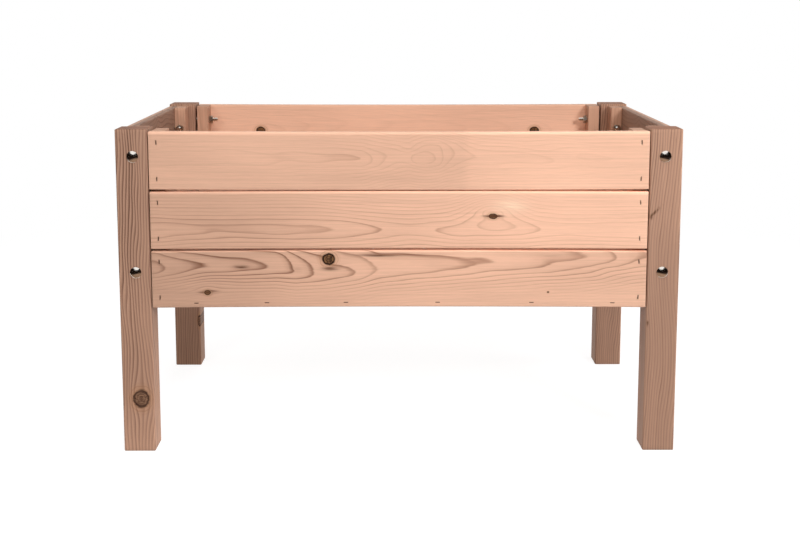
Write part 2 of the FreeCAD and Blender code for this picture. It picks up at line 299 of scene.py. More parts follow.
def make_bar(node, layout, figure, material, ease=2.0, chamfer=0.7, steps=(3.2, 3.2), slots=(),
             bow=(0.0, 0.0), widths=None, seed=1):
    """A wooden bar in place of a node.

    layout gives the world axis of u (along), v (across the show face) and w (into the wood), and +1
    or -1 for the way that w runs. A station's points are the section, pushed in at the ends by the
    chamfer. bow is how far the two ends and the middle are shifted across. widths gives the stretches
    (from, to, v_low, v_high) of a notched bar."""
    low, high = span(node)
    iu, iv, iw, way = layout
    thick = high[iw] - low[iw]
    v_low, v_high = low[iv], high[iv]
    v_lines = grid_lines(v_low + ease, v_high - ease, steps[1], marks_at(figure, slots, "v"))
    v_back = grid_lines(v_low + ease, v_high - ease, steps[1] * BACK_COARSER, marks_at(figure, (), "v"))
    w_lines = grid_lines(ease, thick - ease, min(4.5, thick / 4))
    ring = section(v_lines, v_back, w_lines, v_low, v_high, thick, ease)
    on_show = np.abs(ring[:, 3] + 1) < 1e-6

    inner = grid_lines(low[iu] + chamfer, high[iu] - chamfer, steps[0], marks_at(figure, slots, "u"))
    if widths is None:
        stations = [(u, v_low, v_high) for u in inner]
    else:
        stations = [(u, a, b) for start, stop, a, b in widths
                    for u in grid_lines(max(start, inner[0]), min(stop, inner[-1]), steps[0],
                                        [x for x in inner if start + 1 < x < stop - 1])]
    first, last = stations[0], stations[-1]
    shoulder = SHOULDER_IN * chamfer
    at = np.array([(low[iu], *first[1:]), (low[iu] + shoulder, *first[1:]), *stations,
                   (high[iu] - shoulder, *last[1:]), (high[iu], *last[1:])])
    inset = np.zeros(len(at))
    inset[[0, -1]] = chamfer
    inset[[1, -2]] = SHOULDER_INSET * chamfer

    share = ((at[:, 2] - at[:, 1]) / (v_high - v_low))[:, None]
    u = at[:, 0][:, None] + 0 * ring[:, 0]
    v = at[:, 1][:, None] + (ring[:, 0] - v_low) * share - inset[:, None] * ring[:, 2]
    w = ring[:, 1] - inset[:, None] * ring[:, 3]
    middle_v, middle_w = (at[:, 1] + at[:, 2]) / 2, thick / 2
    caps = []
    for row in (0, -1):
        shrink = CAP_ROWS[:, None] if row == 0 else CAP_ROWS[::-1, None]
        caps.append((at[row, 0] + 0 * shrink * v[row], middle_v[row] + shrink * (v[row] - middle_v[row]),
                     middle_w + shrink * (w[row] - middle_w)))
    u, v, w = (np.vstack([caps[0][i], field, caps[1][i]]) for i, field in enumerate((u, v, w)))
    end = np.zeros(u.shape)
    end[:len(CAP_ROWS) + 1] = end[-len(CAP_ROWS) - 1:] = figure.get("end", 1.0)

    pole = np.array([[at[row, 0], middle_v[row], middle_w] for row in (0, -1)])
    u, v, w = (np.concatenate([field.ravel(), pole[:, i]]) for i, field in enumerate((u, v, w)))
    end = np.concatenate([end.ravel(), end[[0, -1], 0]])
    show = np.concatenate([np.tile(on_show, len(end[:-2]) // len(ring)), [False, False]])
    depth = np.where(show & (end < 0.05), slot_depth(u, v, slots), 0)

    fields = wood_fields(u, v, w, figure, seed)
    w = w + depth
    half = (high[iu] - low[iu]) / 2
    bent = v + bow[0] + (bow[1] - bow[0]) * (1 - ((u - low[iu] - half) / half) ** 2)
    points = np.empty((len(u), 3))
    points[:, iu], points[:, iv] = u, bent
    points[:, iw] = (low[iw] if way > 0 else high[iw]) + way * w

    rng = np.random.default_rng(seed)
    apart = rng.uniform(0, 9, 3)
    mesh_fields = {
        "ring": fields["ring"],
        "grain": np.stack([u, fields["straight"], w], 1) * MM + apart,
        "look": np.stack([fields["lines"], fields["tone"], end], 1),
        "marks": np.stack([fields["knot"], fields["stain"], np.minimum(depth, 1)], 1)}
    points, faces = closed_rows(points[:-2].reshape(-1, len(ring), 3), points[-2:])
    stand_for(new_piece(node, points, faces, material, mesh_fields), node)


# %% [markdown]
# ## The finish of bare wood
# The wood is planed and has no paint or oil on it. Its colour comes from pale earlywood that darkens
# slowly towards the end of each year and stops short, from fibres that make fine streaks, and from a
# little resin round the knots. One material does all the wood, and a few colours tell the kinds
# apart. It reads only the attributes that each bar carries, so it needs no unwrapping. The relief of
# the fibres is too fine for a mesh, so it is the one thing that bump does.
# Part of the brightness that the bars carry is painted light and shade: the front boards grow brighter
# towards the right and paler along their top edges, and the side boards are darker inside.

# %% Small helpers for node trees
def new_material(name):
    """A node material, with its tree and its shader."""
    material = bpy.data.materials.new(name)
    material.use_nodes = True
    return material, material.node_tree, material.node_tree.nodes["Principled BSDF"]


def socket(node, key):
    """A node's input by its place or by its name."""
    return node.inputs[key] if isinstance(key, int) else node.inputs[key.replace("_", " ")]


def add(tree, kind, *values, settings=None, **named):
    """A node with its sockets filled by numbers, colours or other nodes' outputs."""
    made = tree.nodes.new("ShaderNode" + kind)
    for key, value in (settings or {}).items():
        setattr(made, key, value)
    for key, value in [*enumerate(values), *named.items()]:
        if isinstance(value, bpy.types.NodeSocket):
            tree.links.new(value, socket(made, key))
        elif value is not None:
            socket(made, key).default_value = value
    return made


def reckon(tree, operation, *values):
    return add(tree, "Math", *values, settings={"operation": operation}).outputs[0]


def plus(tree, *values):
    return reckon(tree, "ADD", *values)


def times(tree, *values):
    return reckon(tree, "MULTIPLY", *values)


def between(tree, value, start, stop, low=0.0, high=1.0):
    """A smooth step: low below start, high above stop."""
    smooth = {"interpolation_type": "SMOOTHSTEP"}
    return add(tree, "MapRange", value, start, stop, low, high, settings=smooth).outputs[0]


def noise(tree, vector, stretch, detail=2.0, roughness=0.5):
    """Noise whose grains are 1 / stretch metres long on each axis, from 0 to 1."""
    scaled = add(tree, "VectorMath", vector, stretch, settings={"operation": "MULTIPLY"}).outputs[0]
    return add(tree, "TexNoise", scaled, Scale=1.0, Detail=detail, Roughness=roughness).outputs["Fac"]


def blend(tree, share, below, above, kind="MIX"):
    """Two colours mixed by a share."""
    made = add(tree, "Mix", settings={"data_type": "RGBA", "blend_type": kind})
    for index, value in ((0, share), (6, below), (7, above)):
        if isinstance(value, bpy.types.NodeSocket):
            tree.links.new(value, made.inputs[index])
        else:
            made.inputs[index].default_value = value
    return made.outputs[2]


def ramp(tree, value, stops):
    """A grey ramp through (place, brightness) stops."""
    made = add(tree, "ValToRGB", value)
    elements = made.color_ramp.elements
    while len(elements) < len(stops):
        elements.new(0.5)
    for element, (place, grey) in zip(elements, stops):
        element.position = place
        element.color = (grey, grey, grey, 1)
    return made.outputs[0]


def colour(red, green, blue):
    """A colour written as it looks on screen, from 0 to 255, made linear."""
    values = np.array([red, green, blue]) / 255
    return (*np.where(values <= 0.04045, values / 12.92, ((values + 0.055) / 1.055) ** 2.4), 1.0)


# %% A knot's own colours
DARK_KNOT = colour(134, 95, 62), colour(66, 40, 24), colour(24, 13, 8)
BROWN_KNOT = colour(142, 106, 82), colour(108, 77, 58), colour(66, 43, 32)
ARC_BROWN, HALO_BROWN = colour(122, 80, 54), colour(176, 128, 88)


def knot_over(tree, base, grain, knot, shades):
    """The wood's colour with the knots in it: a brown disc of small rings with a dark, broken rim,
    faint arcs close round it and a brown halo that fades into the wood. knot is the distance from the
    knot's middle in radii, made ragged by a noise. shades are the colours of the knot's flesh, of its
    small rings and of its rim."""
    flesh, heart, pitch = shades
    ragged = plus(tree, times(tree, noise(tree, grain, (230, 230, 230), 3.0), 0.42),
                  reckon(tree, "SUBTRACT", knot, 0.21))
    mottle = noise(tree, grain, (520, 520, 520), 3.0, 0.7)
    small_rings = reckon(tree, "FRACT", times(tree, ragged, 3.6))
    core = blend(tree, between(tree, small_rings, 0.35, 0.95), flesh, heart)
    core = blend(tree, between(tree, mottle, 0.45, 0.68), core, pitch)
    core = blend(tree, between(tree, ragged, 0.0, 0.3, 0.75, 0.0), core, pitch)
    arcs = between(tree, reckon(tree, "FRACT", times(tree, ragged, 2.6)), 0.55, 0.95, 0.0, 0.5)
    near = between(tree, ragged, 1.1, 2.1, 1.0, 0.0)
    base = blend(tree, times(tree, near, arcs), base, ARC_BROWN)
    base = blend(tree, times(tree, near, 0.3), base, HALO_BROWN)
    base = blend(tree, between(tree, ragged, 0.92, 1.04, 1.0, 0.0), base, core)
    rim = times(tree, between(tree, ragged, 0.74, 0.9), between(tree, ragged, 0.96, 1.12, 1.0, 0.0))
    broken = between(tree, noise(tree, grain, (90, 90, 90), 2.0), 0.35, 0.55, 0.55, 1.0)
    return blend(tree, times(tree, rim, broken), base, pitch)


# %% The wood material
LATEWOOD = [(0.0, 0.2), (0.05, 0.0), (0.48, 0.03), (0.74, 0.2), (0.88, 0.78), (0.945, 1.0), (1.0, 0.35)]
BROAD_LATEWOOD = [(0.0, 0.3), (0.1, 0.0), (0.3, 0.06), (0.58, 0.45), (0.78, 0.95), (0.92, 1.0), (1.0, 0.4)]
# The first brown darkens stains and also paints the shade in the staples' dents; the last darkens the slots,
# crushed wood with painted shade in the recess.
STAIN_AND_SHADE_BROWN, BLEACHED, SLOT_CRUSH_AND_SHADE_BROWN = colour(88, 54, 34), colour(255, 226, 194), colour(52, 34, 26)
END_GRAIN_TINT = (0.97, 0.72, 0.52, 1)


def wood(name, early, late, rough=0.62, late_shape=LATEWOOD, knot_shades=DARK_KNOT):
    """Bare planed softwood; early and late are the colours of the two halves of a year's ring,
    late_shape says how the late one builds up and stops, and knot_shades colour the knots.

    The fraction of the ring level is the place within a year, and its whole part picks how strong
    that year's line is. Streaks, fibres and clouds are noises stretched along the grain."""
    material, tree, shader = new_material(name)
    read = {key: add(tree, "Attribute", settings={"attribute_name": key})
            for key in ("ring", "grain", "look", "marks")}
    grain = read["grain"].outputs["Vector"]
    lines, tone, end = add(tree, "SeparateXYZ", read["look"].outputs["Vector"]).outputs
    knot, stain, slot = add(tree, "SeparateXYZ", read["marks"].outputs["Vector"]).outputs

    shake = noise(tree, grain, (22, 330, 330), 3.0)
    ring = plus(tree, read["ring"].outputs["Fac"], times(tree, shake, 0.15))
    part, year = reckon(tree, "FRACT", ring), reckon(tree, "FLOOR", ring)
    chance = add(tree, "TexWhiteNoise", None, year, settings={"noise_dimensions": "1D"}).outputs["Value"]
    dark = ramp(tree, part, late_shape)
    weight = times(tree, lines, between(tree, chance, 0.0, 1.0, 0.62, 1.0))
    patchy = between(tree, noise(tree, grain, (6, 26, 26), 2.0), 0.25, 0.75, 0.7, 1.15)
    base = blend(tree, times(tree, times(tree, dark, weight), patchy), early, late)

    streaks = noise(tree, grain, (5, 420, 420), 3.0, 0.6)
    fibres = noise(tree, grain, (45, 2600, 2600), 2.0, 0.6)
    clouds = noise(tree, grain, (4, 14, 14), 2.0)
    speckle = noise(tree, grain, (900, 900, 900), 2.0)
    light = plus(tree, between(tree, streaks, 0.25, 0.75, -0.06, 0.06),
                 between(tree, fibres, 0.25, 0.75, -0.05, 0.05))
    light = plus(tree, light, between(tree, clouds, 0.2, 0.8, -0.06, 0.06))
    light = plus(tree, light, times(tree, end, between(tree, speckle, 0.3, 0.7, -0.42, -0.16)))
    # The brightness brings in painted light and shade set on some boards: the front boards' gradient and
    # top-edge highlight, and the side boards' darker inside.
    light = times(tree, plus(tree, light, 1.0), tone)
    base = blend(tree, 1.0, base, add(tree, "CombineXYZ", light, light, light).outputs[0], "MULTIPLY")
    base = blend(tree, end, base, END_GRAIN_TINT, "MULTIPLY")

    base = knot_over(tree, base, grain, knot, knot_shades)
    torn = between(tree, noise(tree, grain, (30, 700, 700), 3.0), 0.3, 0.62, 0.45, 1.1)
    uneven = times(tree, stain, torn)
    # Stains darken towards brown: real stains, and at the staples painted shade of their dents.
    base = blend(tree, between(tree, uneven, 0.0, 1.0), base, STAIN_AND_SHADE_BROWN)
    base = blend(tree, between(tree, uneven, 0.0, -1.0), base, BLEACHED)
    # The staples' slots darken towards a deep brown: crushed wood, and painted shade in the recess.
    base = blend(tree, between(tree, slot, 0.1, 0.5, 0.0, 0.85), base, SLOT_CRUSH_AND_SHADE_BROWN)
    tree.links.new(base, shader.inputs["Base Color"])

    height = plus(tree, times(tree, dark, 0.5), times(tree, fibres, 0.9))
    height = plus(tree, height, times(tree, streaks, 0.6))
    relief = add(tree, "Bump", Strength=0.28, Distance=0.0004, Height=height).outputs[0]
    tree.links.new(relief, shader.inputs["Normal"])
    gloss = plus(tree, between(tree, fibres, 0.2, 0.8, rough - 0.06, rough + 0.1), times(tree, dark, -0.05))
    tree.links.new(gloss, shader.inputs["Roughness"])
    shader.inputs["Specular IOR Level"].default_value = 0.32
    return material


board_wood = wood("board_wood", colour(228, 181, 153), colour(120, 71, 45))
post_wood = wood("post_wood", colour(186, 145, 121), colour(84, 52, 38), late_shape=BROAD_LATEWOOD,
                 knot_shades=BROWN_KNOT)
batten_wood = wood("batten_wood", colour(202, 157, 130), colour(114, 70, 50))
floor_wood = wood("floor_wood", colour(216, 171, 144), colour(122, 74, 54))
print("wood materials:", [made.name for made in (board_wood, post_wood, batten_wood, floor_wood)])

# %% [markdown]
# ## The front boards
# These three are what one sees first, so their figure is listed: the arches, the closed ovals and
# the knots lie where the real boards have them. crest is the ring level along the line where the
# saw came nearest to the pith. An arch points the way that the crest climbs, an oval is a dip or a
# hump in it, and steep stretches crowd the arches. pith_v and pith_front say how far up the board and
# how far in front of it the pith lies, and ring is the spacing of the rings. lines and across are how
# dark the latewood is along and across the board, and the brightness curve is how bright the board is
# along it: partly the wood's own colour, partly painted light and shade.

# %% Figures of the three front boards: u in mm from the bed's middle, v from the board's lower edge
def spots(*rows, last="depth"):
    """Marks from rows of a place (u, v), radii (ru, rv) and, mostly, one value more."""
    return [dict(zip(("u", "v", "ru", "rv", last), row)) for row in rows]


def moved(places, by):
    """The same marks, each v raised by a distance."""
    return [{**place, "v": place["v"] + by} for place in places]


def raised(figure, low):
    """The figure with its heights given above the ground instead of the board's lower edge."""
    return {**figure, **{key: moved(figure.get(key, ()), low) for key in ("knots", "stains", "swells")},
            "pith_v": [(u, v + low) for u, v in figure["pith_v"]],
            "across": [(v + low, strength) for v, strength in figure["across"]]}


# The brightness curves of these three boards paint light and shade: darker towards the left end, brighter
# towards the right, and on the top board a painted highlight from about u = 100 mm rightwards.
bottom_figure = {
    "pith_v": [(-382, 61), (-350, 61), (-300, 63), (-193, 65), (-155, 58), (-110, 56), (-27, 59),
               (60, 64), (138, 70), (290, 78), (382, 84)],
    "pith_front": [(-382, 10), (-120, 15), (141, 25), (382, 34)],
    "crest": [(-382, -0.6), (-355, 0), (-300, 1), (-191, 2), (-160, 2.9), (-148, 3.3), (-122, 4),
              (-64, 5), (-27, 6), (138, 7), (290, 8), (337, 9), (382, 9.8)],
    "upper": 0.55, "ring": 5.1, "tighten": 0.35, "wobble": 0.12,
    "knots": spots((-108.5, 75.5, 9.6, 8.8, 1.5), (-296, 23.8, 4.8, 3.9, 2.0), (230, 23.5, 1.5, 1.3),
                   last="bend"),
    "swells": spots((-300, 36, 40, 9, 0.7), last="levels"),
    "stains": spots((-244, 63.5, 14, 3.8, 0.8), (-106, 60.5, 15, 3.8, 0.75), (-30, 81.5, 36, 3.0, 0.8),
                    (20, 82.5, 60, 1.8, 0.4), (-298, 24, 13, 1.9, 1.2), (-292, 26, 15, 2.0, 0.7),
                    (236, 81, 30, 3.2, 0.26), (-347, 61, 28, 5, 0.2), (-158, 60, 13, 6, 0.24)),
    "across": [(0, 0.08), (18, 0.15), (33, 0.55), (50, 1.0), (89, 1.0)],
    "lines": [(-382, 0.5), (-335, 0.6), (-285, 0.88), (-100, 0.88), (120, 0.62), (382, 0.5)],
    "tone": [(-382, 0.70), (-250, 0.78), (-100, 0.95), (0, 1.0), (200, 1.03), (382, 1.0)]}
middle_figure = {
    "pith_v": [(-382, 30), (-250, 31.5), (-89, 30), (70, 29.5), (143, 38), (215, 31), (382, 30)],
    "pith_front": 16,
    "crest": [(-382, -1.0), (-340, -0.7), (-267, -0.27), (-190, -0.5), (-140, -0.4), (-89, 0), (-17, 1),
              (20, 1.35), (58, 1), (113, 0), (145, -0.6), (183, 0), (219, 1), (256, 1.35), (300, 1.2),
              (382, 0.9)],
    "ring": 4.8, "wobble": 0.12,
    "knots": [{"u": 143.8, "v": 50.3, "ru": 6.6, "rv": 4.0, "bend": 2.0, "stretch": 0.6}],
    "swells": spots((140, 62, 34, 15, -1.6), last="levels"),
    "stains": spots((143.8, 50.3, 15, 1.9, 1.5), (170, 66, 30, 13, -0.55), (-365, 30, 20, 3, 0.2),
                    (-225, 31, 60, 4, 0.14)),
    "across": [(0, 1.0), (44, 1.0), (60, 0.6), (89, 0.3)],
    "lines": [(-382, 0.56), (-100, 0.5), (60, 0.46), (240, 0.32), (382, 0.32)],
    "tone": [(-382, 0.79), (-250, 0.85), (-100, 1.0), (100, 1.04), (250, 1.17), (382, 1.14)]}
top_figure = {
    "pith_v": [(-382, 50), (-40, 50), (40, 53), (140, 50), (382, 48)],
    "pith_front": 18,
    "crest": [(-382, -3.0), (-200, -2.6), (-60, -2.0), (-36, -1), (-8, 0), (15, 0.35), (22, 0),
              (40, -0.6), (60, 0), (71, 1), (90, 2), (118, 3), (200, 3.6), (382, 4)],
    "ring": 5.0, "wobble": 0.2, "tighten": 0.5,
    "swells": spots((14, 64, 16, 7, 0.8), (24, 42, 14, 7, -0.6), (80, 74, 30, 10, -1.0), last="levels"),
    "stains": spots((-26, 60, 32, 3, 0.12)),
    "across": [(0, 0.5), (25, 0.9), (89, 1.0)],
    "lines": [(-382, 0.1), (-130, 0.16), (-60, 0.27), (80, 0.27), (140, 0.18), (382, 0.1)],
    "tone": [(-382, 0.87), (-150, 0.95), (60, 0.97), (94, 0.985), (112, 1.07), (250, 1.12),
             (382, 1.09)]}
hand_made = {"top": top_figure, "middle": middle_figure, "bottom": bottom_figure}
print("figures set by hand:", len(hand_made))

# %% [markdown]
# ## Figures for the other boards
# Boards of one pile resemble each other without being alike. The rest get a figure of the same kind
# with its arches spread by chance: a crest that climbs in uneven steps, a pith that wanders, and now
# and then a knot. The chance is seeded, so that each run saws the same boards.

# %% A figure by chance, and the slots that staples leave
def sawn(low, high, v_low, v_high, seed, lines=0.5, tone=1.0, knots=None, end=1.0):
    """A plain-sawn figure for a board that runs from low to high: a crest that climbs by uneven
    steps, one for every 95 mm or so, a pith line that wanders about the middle, and up to two knots."""
    rng = np.random.default_rng(seed)
    length, width = high - low, v_high - v_low
    places = np.linspace(low, high, max(4, round(length / 95)))
    climb = np.cumsum(rng.uniform(-0.5, 1.9, len(places)) * rng.choice([-1, 1]))
    pith = v_low + width * rng.uniform(0.3, 0.7) + rng.uniform(-0.12, 0.12, len(places)) * width
    places[1:-1] += rng.uniform(-18, 18, len(places) - 2)
    if knots is None:
        knots = [{"u": rng.uniform(low + 60, high - 60), "v": rng.uniform(v_low + 14, v_high - 14),
                  "ru": size, "rv": size * 0.9}
                 for size in rng.uniform(2.0, 7.5, rng.integers(0, 3))]
    return {"pith_v": list(zip(places, pith)), "pith_front": float(rng.uniform(14, 30)),
            "crest": list(zip(places, climb)), "ring": float(rng.uniform(4.2, 5.6)), "wobble": 0.14,
            "knots": knots, "lines": lines, "tone": tone, "end": end}


SLOT_LONG, SLOT_WIDE, SLOT_DEEP = 6.6 / 2, 1.4 / 2, 0.42
staple_from_end, staple_from_edge = 12.0, 16.5


def slot_at(u, v, half_u, half_v):
    """A slot's middle, its half sizes along and across, and its depth."""
    return {"u": u, "v": v, "half_u": half_u, "half_v": half_v, "depth": SLOT_DEEP}


def end_slots(low, high, v_low, v_high):
    """Upright slots of the two staples at each end of a board."""
    return [slot_at(u, v, SLOT_WIDE, SLOT_LONG)
            for u in (low + staple_from_end, high - staple_from_end)
            for v in (v_low + staple_from_edge, v_high - staple_from_edge)]


def staple_shade_marks(slots, seed):
    """A dark mark beside each upright staple, leaning a little: painted shade of the staple's dent."""
    rng = np.random.default_rng(seed)
    return [{"u": slot["u"] + rng.uniform(-0.4, 0.4), "v": slot["v"], "ru": 1.15, "rv": 3.5, "depth": 0.8,
             "lean": rng.uniform(-0.35, 0.35)} for slot in slots]


ledger_side, staple_rise, staple_from_cleat = 20.0, 7.0, 29.0
long_reach = span("front_cleat_right")[0][0] - staple_from_cleat
side_reach = span("right_cleat_rear")[0][1] - staple_from_cleat
long_ledger_places = np.array([-0.95, -0.62, -0.25, 0.18, 0.62, 1.0]) * long_reach
side_ledger_places = np.array([-1.0, 0.0, 1.0]) * side_reach
print("staples along the ledgers:", 2 * (len(long_ledger_places) + len(side_ledger_places)))

# %% Make the twelve boards
# The world axes of u, v and w for each side, and +1 or -1 for the way that w runs into the wood.
ALONG_X = {"front": (0, 2, 1, 1), "rear": (0, 2, 1, -1)}
ALONG_Y = {"left": (1, 2, 0, 1), "right": (1, 2, 0, -1)}
LAYOUTS = {**ALONG_X, **ALONG_Y}
BOARD_SEED = 11
board_bow = {"top": (0.0, -1.1), "middle": (-0.2, 1.0), "bottom": (0.0, 1.6)}
# Brightness factors: 1.3 paints a highlight along the front boards' top edges, 0.55 paints shade on the side
# boards' inner faces.
front_top_highlight, painted_inside_shade = 1.3, 0.55
rear_knot_places, rear_knot_rise = (-264, 262), 40.0
rear_stain_places, rear_stain_rise = (-205, 205), 37.5
boards = [(side, height) for side in LAYOUTS for height in ("top", "middle", "bottom")]
for seed, (side, height) in enumerate(boards, BOARD_SEED):
    node, layout = side + "_board_" + height, LAYOUTS[side]
    low, high = span(node)
    ends = low[layout[0]], high[layout[0]], low[2], high[2]
    if side == "front":
        # The front boards get the painted highlight along their top edges.
        figure = {"painted_top_highlight": front_top_highlight, **raised(hand_made[height], low[2])}
    elif node == "rear_board_top":
        knots = spots(*((u, low[2] + rear_knot_rise, 8.5, 6.5) for u in rear_knot_places))
        # The rear top board is painted 1.1 times brighter: painted light, for the lamps' light that falls
        # off towards the back.
        figure = sawn(*ends, seed, lines=0.08, tone=1.1, knots=knots)
        figure["stains"] = spots(*((u, low[2] + rear_stain_rise, 62, 2.0, 0.5) for u in rear_stain_places))
    else:
        # The side boards are darker all over (0.8) and darker still on their inner faces: painted shade of
        # the inside of the box.
        figure = sawn(*ends, seed, lines=0.6, tone=0.8 if side in ALONG_Y else 0.98)
        figure["inside"] = painted_inside_shade if side in ALONG_Y else 1.0
    if side in ALONG_Y and height == "top":
        figure["knots"] = [{"u": 6.0, "v": high[2] - 32, "ru": 3.0, "rv": 11.0, "stretch": 0.5}]
    slots = end_slots(*ends)
    # Each end staple gets a dark mark: painted shade of its dent.
    figure["stains"] = [*figure.get("stains", ()), *staple_shade_marks(slots, seed)]
    if height == "bottom":
        places = long_ledger_places if side in ALONG_X else side_ledger_places
        slots += [slot_at(u, low[2] + staple_rise, SLOT_LONG, SLOT_WIDE) for u in places]
    steps = (3.0, 3.0) if side == "front" else (5.0, 4.5)
    make_bar(node, layout, figure, board_wood, steps=steps, slots=slots,
             bow=board_bow[height] if side in ALONG_X else (0.0, 0.0), seed=seed)
print("boards:", len(boards))

# %% [markdown]
# ## Posts
# The posts are sawn from a larger trunk, so their rings run nearly straight down the faces and curve
# across the ends. Their pith lies well outside the wood. The two in front have a knot and a scar
# where the real ones have them.

# %% Make the four posts: u in mm above the ground, v from the post's left side
POST_SEED = 40
POST_RINGS = {
    "post_front_left": {
        "pith": (-66, 26), "ring": 4.3,
        "lines": [(0, 0.5), (200, 0.6), (330, 0.85), (508, 0.85)],
        "tone": [(0, 1.12), (150, 1.0), (508, 0.98)],
        "knots": [{"u": 85.0, "v": 29.0, "ru": 14.0, "rv": 12.3, "stretch": 0.62, "bend": 1.35}],
        "stains": spots((492.0, 7.0, 5.0, 1.0, 0.7))},
    "post_front_right": {
        "pith": (84, 46), "ring": 3.4,
        "lines": [(0, 0.42), (200, 0.42), (330, 0.4), (508, 0.55)],
        "tone": [(0, 0.91), (200, 0.88), (508, 1.04)],
        "stains": [{"u": 379.0, "v": 8.0, "ru": 3.0, "rv": 10.0, "depth": 0.95, "lean": 0.95},
                   *spots((373.0, 3.0, 4.4, 3.2, 0.8), (205.0, 2.5, 4.0, 1.6, 1.1),
                          (491.0, 38.0, 6.0, 0.9, 0.45))]},
    "post_rear_left": {
        "pith": (-58, 40), "ring": 4.1, "lines": 0.55, "tone": 0.88,
        "knots": [{"u": 88.0, "v": 47.5, "ru": 11.0, "rv": 3.4, "stretch": 0.6}]},
    "post_rear_right": {"pith": (96, 30), "ring": 3.8, "lines": 0.55, "tone": 0.94}}
post_drift = [(0, 0), (140, 5), (300, -3), (508, 6)]
post_crest = [(0, 0), (180, 0.7), (340, 0.2), (508, 1.0)]
for seed, (node, shape) in enumerate(POST_RINGS.items(), POST_SEED):
    left = span(node)[0][0]
    pith_v, pith_front = shape["pith"]
    figure = {"pith_v": [(u, left + pith_v + shift) for u, shift in post_drift], "pith_front": pith_front,
              "crest": post_crest, "ring": shape["ring"], "wobble": 0.3, "lines": shape["lines"],
              "tone": shape["tone"], "knots": moved(shape.get("knots", ()), left),
              "stains": moved(shape.get("stains", ()), left)}
    make_bar(node, (2, 0, 1, 1), figure, post_wood, ease=2.5, chamfer=1.0,
             steps=(5.0, 2.6), seed=seed)
print("posts:", len(POST_RINGS))

# %% [markdown]
# ## Uprights, ledgers and floor
# The uprights, or cleats, and the ledgers are ripped from boards, so their edges are crisp. The floor
# is laid with gaps for water. Its first and last slats are notched round the posts and cleats, and a
# notched bar is the same bar whose width changes from one stretch to the next.

# %% Make the cleats and the ledgers
BATTEN_SEED = 60
battens = []
for side, (iu, iv, iw, way) in LAYOUTS.items():
    for end in ("left", "right") if side in ALONG_X else ("front", "rear"):
        battens.append((side + "_cleat_" + end, (iv, iu, iw, way), (7, 3)))
battens += [(side + "_ledger", layout, (8, 4)) for side, layout in LAYOUTS.items()]
for seed, (node, layout, steps) in enumerate(battens, BATTEN_SEED):
    low, high = span(node)
    iu, iv = layout[:2]
    figure = sawn(low[iu], high[iu], low[iv], high[iv], seed, lines=0.4, knots=[], end=0.1)
    make_bar(node, layout, figure, batten_wood, ease=0.7, chamfer=0.5, steps=steps, seed=seed)
print("cleats and ledgers:", len(battens))

# %% Make the floor slats
SLAT_SEED = 80
slat_clear, slat_bow = 1.5, 1.2
floor_staple_from_edge, floor_staple_from_cleat = 22.0, 7.2
slat_nodes = ["floor_slat_" + str(number) for number in range(1, 10)]
long_cleat, side_cleat = span("rear_cleat_right")[0], span("right_cleat_rear")[0]
notch_x = long_cleat[0] - slat_clear, side_cleat[0] - slat_clear
notch_y = long_cleat[1] - slat_clear, side_cleat[1] - slat_clear
ledger_y = span("rear_ledger")[0][1] + ledger_side / 2
beside_cleat = span("right_ledger")[1][0] - ledger_side / 2, side_cleat[1] - staple_from_cleat / 2
staple_reach = long_cleat[0] - floor_staple_from_cleat


def notched(low, high, left):
    """Stretches (from, to, v_low, v_high) of an end slat. It is slim beside the long panels' cleats,
    wider beside the side panels' cleats and full between them."""
    slim, mid = ((-x, high[0]) if left else (low[0], x) for x in notch_x)
    turns = [low[1], -notch_y[0], -notch_y[1], notch_y[1], notch_y[0], high[1]]
    edges = (slim, mid, (low[0], high[0]), mid, slim)
    return [(start, stop, *edge) for start, stop, edge in zip(turns, turns[1:], edges)]


floor_staples = []
for number, node in enumerate(slat_nodes):
    low, high = span(node)
    middle = (low[0] + high[0]) / 2
    half_apart = (high[0] - low[0]) / 2 - floor_staple_from_edge
    places = [(middle + side * half_apart, ledger_y) for side in (-1, 1)]
    places = [(x, y) if abs(x) < staple_reach else (math.copysign(beside_cleat[0], x), beside_cleat[1])
              for x, y in places]
    places = [(x, sy * y) for x, y in places for sy in (-1, 1)]
    floor_staples += [(np.array([x, y, high[2]]), (0, 0, 1), (1, 0, 0)) for x, y in places]
    slots = [slot_at(y, x, SLOT_WIDE, SLOT_LONG) for x, y in places]
    widths = notched(low, high, number == 0) if node in (slat_nodes[0], slat_nodes[-1]) else None
    figure = sawn(low[1], high[1], low[0], high[0], SLAT_SEED + number)
    bow = 0.0, -slat_bow * float(np.sign(round(middle)))
    make_bar(node, (1, 0, 2, -1), figure, floor_wood, steps=(5.5, 5), slots=slots,
             widths=widths, bow=bow, seed=SLAT_SEED + number)
print("slats:", len(slat_nodes), "floor staples:", len(floor_staples))

# %% [markdown]
# ## Hardware
# The bolts are carriage bolts: a low dome, a square neck that bites into the post, a shank and a
# rolled thread. A lathe profile turned round an axis makes all of them, with two twists: the neck's
# radius depends on the angle, and the thread's on the angle and the height together, which makes it
# a true helix. Nuts are turned the same way.

# %% Turned shapes
AROUND = 48
angles = np.arange(AROUND) * 2 * np.pi / AROUND


def turned(radii, heights, closed=False):
    """Points at radius(row, angle) and height(row), with faces between the rows. An open profile is
    closed by a middle point at each end, and a ring's profile meets itself."""
    radii = np.array(radii)
    heights = np.broadcast_to(np.array(heights, float).reshape(len(radii), -1), radii.shape)
    grid = np.stack([radii * np.cos(angles), radii * np.sin(angles), heights], -1)
    if not closed:
        return closed_rows(grid, np.array([[0, 0, heights[0].mean()], [0, 0, heights[-1].mean()]]))
    index = np.arange(radii.size).reshape(radii.shape)
    below, after = np.roll(index, -1, axis=0), np.roll(index, -1, axis=1)
    quads = np.stack([index, below, np.roll(below, -1, axis=1), after], -1).reshape(-1, 4)
    return grid.reshape(-1, 3), quads.tolist()


